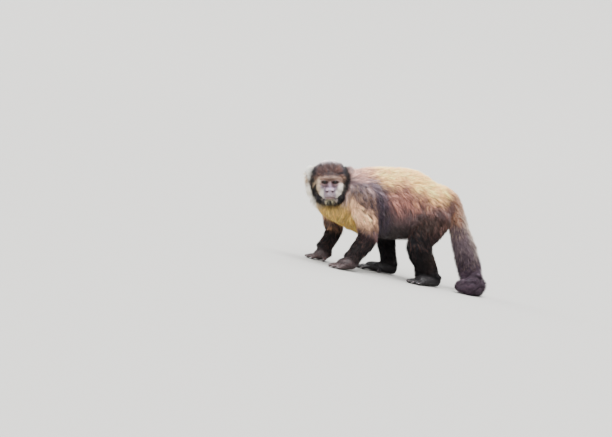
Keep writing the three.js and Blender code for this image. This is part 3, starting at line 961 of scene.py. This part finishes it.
skinMesh = skin.mesh
setTint(skinMesh, skinTint)
skinMesh.shade_smooth()
skinMesh.materials.append(skinMaterial())
skinPiece = addPiece("skin", skinMesh)
bpy.context.view_layer.objects.active = skinPiece
skinPiece.select_set(True)
bpy.ops.object.mode_set(mode="EDIT")
bpy.ops.mesh.select_all(action="SELECT")
bpy.ops.uv.smart_project(angle_limit=math.radians(66), island_margin=0.002)
bpy.ops.object.mode_set(mode="OBJECT")
skinMesh.uv_layers[0].name = "OFBake"
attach(skinPiece, "root")
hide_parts(*fleshNames)
print("skin unwrapped")

# Faces of the skin as arrays for growing the coat.
faceCount = len(skinMesh.polygons)
corners = np.empty(faceCount * 3, dtype=np.int32)
skinMesh.polygons.foreach_get("vertices", corners)
corners = corners.reshape(-1, 3)
cornerUv = np.empty(faceCount * 6)
skinMesh.uv_layers["OFBake"].data.foreach_get("uv", cornerUv)
cornerUv = cornerUv.reshape(-1, 3, 2)
ends = points[corners]
areas = np.linalg.norm(np.cross(ends[:, 1] - ends[:, 0], ends[:, 2] - ends[:, 0]), axis=1) / 2
faceKinds = kinds[corners[:, 0]]
faceOf = {key: fields[key][corners].mean(axis=1) for key in coatKeys}
faceNormal = unit(normals[corners].mean(axis=1))
faceFlow = unit(flow[corners].mean(axis=1))
faceTint = tint[corners].mean(axis=1)
faceLocal = local[corners].mean(axis=1)
faceLock = locks[corners].mean(axis=1)
skinTree = BVHTree.FromPolygons(points.tolist(), corners.tolist())

flecks = {  # odd hairs of another tone: colour and their share
    "head": ("#b3a1a3", 0.1), "neck": ("#8d6f60", 0.16), "chest": ("#5d4440", 0.2),
    "belly": ("#4e372f", 0.16), "rump": ("#4e372f", 0.16), "upper_arm": ("#9a7250", 0.22),
    "forearm": ("#6e5149", 0.14), "hand": ("#7a6264", 0.12), "thigh": ("#6a4a42", 0.12),
    "shank": ("#54403f", 0.1), "foot": ("#5a484c", 0.05), "tail_base": ("#d8bda6", 0.2),
    "tail_middle": ("#a08c82", 0.12), "tail_low": ("#6a5660", 0.25), "tail_tip": ("#5f4d57", 0.2),
}
noFleck = ("#8a7a74", 0)
faceFleck = np.array([srgb(flecks.get(kind, noFleck)[0]) for kind in faceKinds])
faceFleckShare = np.array([flecks.get(kind, noFleck)[1] for kind in faceKinds])
onCrown = ramp(faceLocal[:, 2], 18, 34)
faceFleckShare *= np.where(faceKinds == "head", onCrown, 1 - 0.9 * faceTint.mean(axis=1))

# No hair grows round the eyes, on the nose and lips, or on what stands on the floor.
x, y, z = faceLocal.T
out = np.abs(x)
naked = (eyeShare(x, z) < 2.4) & (y > 15) & (np.abs(z) < 9)
naked |= (bump(out, z, (0, -16), (8, 7)) > 0.35) & (y > 36)
naked |= (np.abs(z - mouthLine(x)) < 2.6) & (out < 12) & (y > 30)
naked |= (faceNormal[:, 2] < -0.5) & (ends[:, :, 2].mean(axis=1) < 6)

uvPatch = 0.003  # each tuft's patch in the shared layout
tuftShapes = {  # for two or three rings: shares of the length, shares of the rise, widths, tones
    2: ((0.0, 0.5, 1.0), (0.0, 0.75, 1.0), (0.9, 0.8), (0.75, 1.0)),
    3: ((0.0, 0.4, 0.75, 1.0), (0.0, 0.55, 0.86, 1.0), (0.8, 1.0, 0.62), (0.62, 1.0, 1.08)),
}


def tuftPattern(rings):  # corners, places in the layout and face sizes of one tuft
    def place(c, k):
        return (uvPatch * c / 3, uvPatch * (k + 0.4) / (rings + 0.4))

    cycle = [2, 1, 0]
    places = [(uvPatch * 0.9, 0), (uvPatch * 0.5, place(0, 0)[1] * 0.9), (uvPatch * 0.1, 0)]
    sizes = [3]
    for k in range(rings):
        for c in range(3):
            after = (c + 1) % 3
            cycle += [3 * k + c, 3 * k + after]
            places += [place(c, k), place(c + 1, k)]
            if k < rings - 1:
                cycle += [3 * k + 3 + after, 3 * k + 3 + c]
                places += [place(c + 1, k + 1), place(c, k + 1)]
                sizes.append(4)
            else:
                cycle.append(3 * rings)
                places.append(place(c + 0.5, k + 1))
                sizes.append(3)
    return cycle, np.array(places), sizes


def traced(face, root, length, bend, shares):  # path of each tuft over the skin, and the normal at each step
    aim, normal, spot = faceFlow[face], faceNormal[face], root
    path, normalsAlong = [root], [normal]
    for before, now in zip(shares, shares[1:]):
        lean = unit(aim + bend)
        lean = unit(lean - (lean * normal).sum(axis=1, keepdims=True) * normal)
        step = length * (now - before)
        target = spot + lean * step[:, None]
        found = [skinTree.find_nearest(p) for p in target.tolist()]
        ground = np.array([f[0][:] for f in found])
        index = np.array([f[2] for f in found])
        far = np.linalg.norm(ground - target, axis=1) > 0.7 * step + 0.5
        ground[far] = target[far]
        index[far] = face[far]
        face = index
        aim, normal, spot = faceFlow[face], faceNormal[face], ground
        path.append(ground)
        normalsAlong.append(normal)
    return path, normalsAlong


def tuftShade(face, spread, lock):  # one colour for each tuft
    base = faceTint[face]
    contrast = spread * (1 - 0.55 * base.mean(axis=1))
    level = np.clip(np.exp(contrast * (0.85 * lock + chance.normal(size=len(face)) * 0.5)), 0.25, 2.4)
    warm = 1 + np.stack([0.05 * lock, 0 * lock, -0.06 * lock], axis=1)
    shade = base * level[:, None] * warm
    flecked = chance.random(len(face)) < faceFleckShare[face]
    return np.where(flecked[:, None], mixed(shade, faceFleck[face], 0.55), shade)


def tuftMesh(name, verts, rings, uvRoot):
    total, each = verts.shape[:2]
    cycle, places, sizes = tuftPattern(rings)
    loops = (np.array(cycle)[None] + (np.arange(total) * each)[:, None]).ravel()
    begin = np.concatenate([[0], np.cumsum(np.tile(sizes, total))[:-1]])
    mesh = bpy.data.meshes.new(name)
    mesh.vertices.add(total * each)
    mesh.vertices.foreach_set("co", toWorld(verts.reshape(-1, 3)).ravel())
    mesh.loops.add(len(loops))
    mesh.loops.foreach_set("vertex_index", loops.astype(np.int32))
    mesh.polygons.add(len(begin))
    mesh.polygons.foreach_set("loop_start", begin.astype(np.int32))
    mesh.update(calc_edges=True)
    bake = uvRoot[:, None, :] - uvPatch / 2 + places[None]
    mesh.uv_layers.new(name="OFBake").data.foreach_set("uv", bake.ravel())
    strand = places[None] / uvPatch + chance.random((total, 1, 2)) * 40
    mesh.uv_layers.new(name="strand").data.foreach_set("uv", strand.ravel())
    mesh.uv_layers["OFBake"].active = True
    return mesh


def growTufts(name, parts, slotName, material, rings=3, most=12300):
    shares, climbs, widths, alongTones = tuftShapes[rings]
    wanted = areas * faceOf["number"] * (np.isin(faceKinds, parts) & ~naked)
    total = int(min(wanted.sum(), most) * share)
    edges = np.cumsum(wanted)
    picks = (np.arange(total) + chance.random(total)) * (edges[-1] / total)
    face = np.minimum(np.searchsorted(edges, picks), faceCount - 1)
    inward, aside = np.sqrt(chance.random(total)), chance.random(total)
    spread = np.stack([1 - inward, inward * (1 - aside), inward * aside], axis=1)
    root = (ends[face] * spread[:, :, None]).sum(axis=1)
    uvRoot = (cornerUv[face] * spread[:, :, None]).sum(axis=1)
    grow = {key: faceOf[key][face] for key in coatKeys}
    clump = np.stack([waves(root, 9, 21 + k) for k in range(3)], axis=1) * 0.24
    sway = chance.normal(size=(total, 3)) * 0.10
    length = grow["length"] * chance.uniform(0.72, 1.2, total)
    lock = np.clip(faceLock[face], -2.2, 2.2)
    rise = grow["depth"] * chance.uniform(0.55, 1.05, total) * (1 + 0.2 * lock) + length * grow["stand"]
    length = length * np.sqrt(1 - grow["stand"] ** 2)
    path, normalsAlong = traced(face, root, length, clump + sway, shares)
    width = grow["width"] * chance.uniform(0.75, 1.25, total) / math.sqrt(share)
    shade = tuftShade(face, grow["tone"], lock)

    # Rings of three corners round the path, and one corner at the tip.
    middles = [p + n * (rise * c - 0.4 * (c == 0))[:, None] for p, n, c in zip(path, normalsAlong, climbs)]
    verts, shades = [], []
    for k in range(rings):
        ahead = unit(middles[k + 1] - middles[max(k - 1, 0)])
        across = unit(np.cross(ahead, normalsAlong[k]))
        above = np.cross(across, ahead)
        for c in range(3):
            angle = 2 * math.pi * c / 3 + math.pi / 2
            offset = across * math.cos(angle) + above * math.sin(angle) * 0.55
            verts.append(middles[k] + offset * (width * widths[k] / 2)[:, None])
            shades.append(shade * alongTones[k])
    verts = np.stack(verts + [middles[rings]], axis=1)
    shades = np.stack(shades + [shade * 1.2], axis=1)
    verts[..., 2] = np.maximum(verts[..., 2], 0.12 + 0.2 * chance.random((total, 1)))  # none under the floor
    mesh = tuftMesh(name, verts, rings, uvRoot)
    setTint(mesh, shades.reshape(-1, 3))
    mesh.shade_smooth()
    mesh.materials.append(material)
    piece = addPiece(name, mesh)
    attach(piece, "root")
    print(name, total, "tufts of", int(wanted.sum()), "wanted,", total * (6 * rings - 2), "triangles")


def hairMaterial(name, roughness, gleam, sheen):
    made, tree = newMaterial(name)
    own = addNode(tree, "ShaderNodeUVMap", {"uv_map": "strand"})
    stretched = addNode(tree, "ShaderNodeMapping", {"Scale": (7.0, 0.9, 1.0)}, Vector=own.outputs[0])
    hairs = addNode(tree, "ShaderNodeTexNoise", {"Scale": 1.0, "Detail": 2.0}, Vector=stretched.outputs[0])
    grooves = addNode(tree, "ShaderNodeBump", {"Strength": 0.5, "Distance": 0.0002}, Height=hairs.outputs[0])
    shader = addNode(tree, "ShaderNodeBsdfPrincipled",
                     {"Roughness": roughness, "Specular IOR Level": gleam, "Sheen Weight": sheen,
                      "Sheen Roughness": 0.4}, Base_Color=varied(tree, hairs, 0.72, 1.25),
                     Normal=grooves.outputs[0])
    finishMaterial(tree, shader)
    return made


longHair = hairMaterial("long soft golden hair", 0.5, 0.35, 0.1)  # strands catch the light lengthwise
darkHair = hairMaterial("straight coarse dark hair", 0.48, 0.22, 0.0)  # tighter gleam on black strands
shortHair = hairMaterial("short dense hair", 0.65, 0.2, 0.05)  # velvety, hardly any gleam
coatPieces = [  # name, parts it covers, slot, hair, and rings or the most tufts where they differ
    ("coatCrown", ["head", "ear"], "crown_coat", darkHair, {"most": 10900}),
    ("coatFace", ["face", "chin", "muzzle"], "face_skin", shortHair, {"rings": 2}),
    ("coatNeck", ["neck"], "back_coat", longHair, {}),
    ("coatChest", ["chest"], "back_coat", longHair, {"most": 8200}),
    ("coatBelly", ["belly"], "back_coat", longHair, {"most": 11000}),
    ("coatRump", ["rump"], "back_coat", longHair, {}),
    ("coatUpperArms", ["upper_arm"], "breast_coat", longHair, {"most": 8100}),
    ("coatForearms", ["forearm"], "dark_coat", darkHair, {"rings": 2}),
    ("coatThighs", ["thigh"], "dark_coat", darkHair, {"most": 8600}),
    ("coatShanks", ["shank"], "dark_coat", darkHair, {"rings": 2}),
    ("coatTailUpper", ["tail_base", "tail_middle"], "dark_coat", darkHair, {"most": 7400}),
    ("coatTailLower", ["tail_low", "tail_tip"], "dark_coat", darkHair, {}),
    ("coatHandsFeet", ["hand", "foot"], "dark_coat", shortHair, {"rings": 2, "most": 9000}),
]
for name, parts, slotName, hair, more in coatPieces:
    growTufts(name, parts, slotName, hair, **more)


def eyeMaterial():
    made, tree = newMaterial("glass museum eye")  # deep brown under a clear wet gloss
    place = addNode(tree, "ShaderNodeTexCoord").outputs["Object"]
    specks = addNode(tree, "ShaderNodeTexNoise", {"Scale": 900.0, "Detail": 2.0}, Vector=place)
    shader = addNode(tree, "ShaderNodeBsdfPrincipled",
                     {"Roughness": 0.3, "Coat Weight": 0.6, "Coat Roughness": 0.05, "Coat IOR": 1.22,
                      "Specular IOR Level": 0.12}, Base_Color=varied(tree, specks, 0.75, 1.25))
    finishMaterial(tree, shader)
    return made


def makeEye(name, node, side, material):  # a brown iris under a clear bulging front, almost no white showing
    facts = {"iris": 5.6, "pupil": 2.9, "bulge": 0.5, "bulgeWidth": 4.6}
    bm = bmesh.new()
    bmesh.ops.create_uvsphere(bm, u_segments=48, v_segments=32, radius=eye["radius"])
    for vert in bm.verts:
        if vert.co.z > 0:
            reach = math.hypot(vert.co.x, vert.co.y)
            vert.co.z += facts["bulge"] * math.exp(-((reach / facts["bulgeWidth"]) ** 2))
    place = np.array([v.co[:] for v in bm.verts])
    reach = np.hypot(place[:, 0], place[:, 1]) + (place[:, 2] < 0) * 20
    turn = np.arctan2(place[:, 1], place[:, 0])
    iris = mixed(srgb("#170d08"), srgb("#291810"), 0.5 + 0.5 * np.sin(turn * 23) * np.sin(turn * 9))
    colour = layered(np.repeat(srgb("#1c1312")[None], len(place), axis=0), [
        (iris, fade(reach, facts["iris"] - 0.5, facts["iris"])),
        (srgb("#1a0f0a"), ridge(reach - facts["iris"], 0.5)),
        (srgb("#040304"), fade(reach, facts["pupil"] - 0.3, facts["pupil"] + 0.2)),
    ])
    forward = np.stack([-place[:, 0], place[:, 2], place[:, 1]], axis=1)  # the pole looks ahead
    placed = toWorld(fromHead(forward + np.array([side * eye["across"], eye["ahead"], 0])))
    for vert, spot in zip(bm.verts, placed):
        vert.co = spot
    mesh = meshFrom(bm, name)
    setTint(mesh, colour)
    mesh.materials.append(material)
    piece = addPiece(name, mesh)
    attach(piece, "root")
    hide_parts(node)


eyeGlass = eyeMaterial()
makeEye("eyeLeft", "eye_left", -1, eyeGlass)
makeEye("eyeRight", "eye_right", 1, eyeGlass)
print("eyes")


def nailMaterial():
    made, tree = newMaterial("dark horn nail")  # smoky horn with a dull shine
    place = addNode(tree, "ShaderNodeTexCoord").outputs["Object"]
    grain = addNode(tree, "ShaderNodeTexNoise", {"Scale": 900.0, "Detail": 2.0}, Vector=place)
    tone = addNode(tree, "ShaderNodeValToRGB", Fac=grain.outputs[0])
    tone.color_ramp.elements[0].color = (*srgb("#2b2427"), 1)
    tone.color_ramp.elements[1].color = (*srgb("#5a4c4e"), 1)
    shader = addNode(tree, "ShaderNodeBsdfPrincipled", {"Roughness": 0.35}, Base_Color=tone.outputs[0])
    finishMaterial(tree, shader)
    return made


def makeNails():  # narrow curved plates over the tips of the digits
    facts = {"wide": 1.5, "long": 2.6, "thick": 0.8, "ahead": 2.4, "above": 3.6}
    size = Matrix.Diagonal((facts["wide"], facts["long"], facts["thick"])) * 0.001
    bm = bmesh.new()
    for name in limbEnds:
        for line in digitLines(name):
            aim = unit(line[2] - line[0])
            over = Vector(line[2] + aim * facts["ahead"] + (0, 0, facts["above"]))
            ground, normal, _, _ = skinTree.find_nearest(over)
            along = Vector(aim) - normal * normal.dot(Vector(aim))
            along.normalize()
            across = along.cross(normal)
            turned = Matrix((across, along, normal)).transposed() @ size
            place = Matrix.Translation(Vector(toWorld(np.array(ground)))) @ turned.to_4x4()
            bmesh.ops.create_uvsphere(bm, u_segments=14, v_segments=8, radius=1, matrix=place)
    mesh = meshFrom(bm, "nails")
    mesh.materials.append(nailMaterial())
    piece = addPiece("nails", mesh)
    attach(piece, "root")


makeNails()
print("nails")
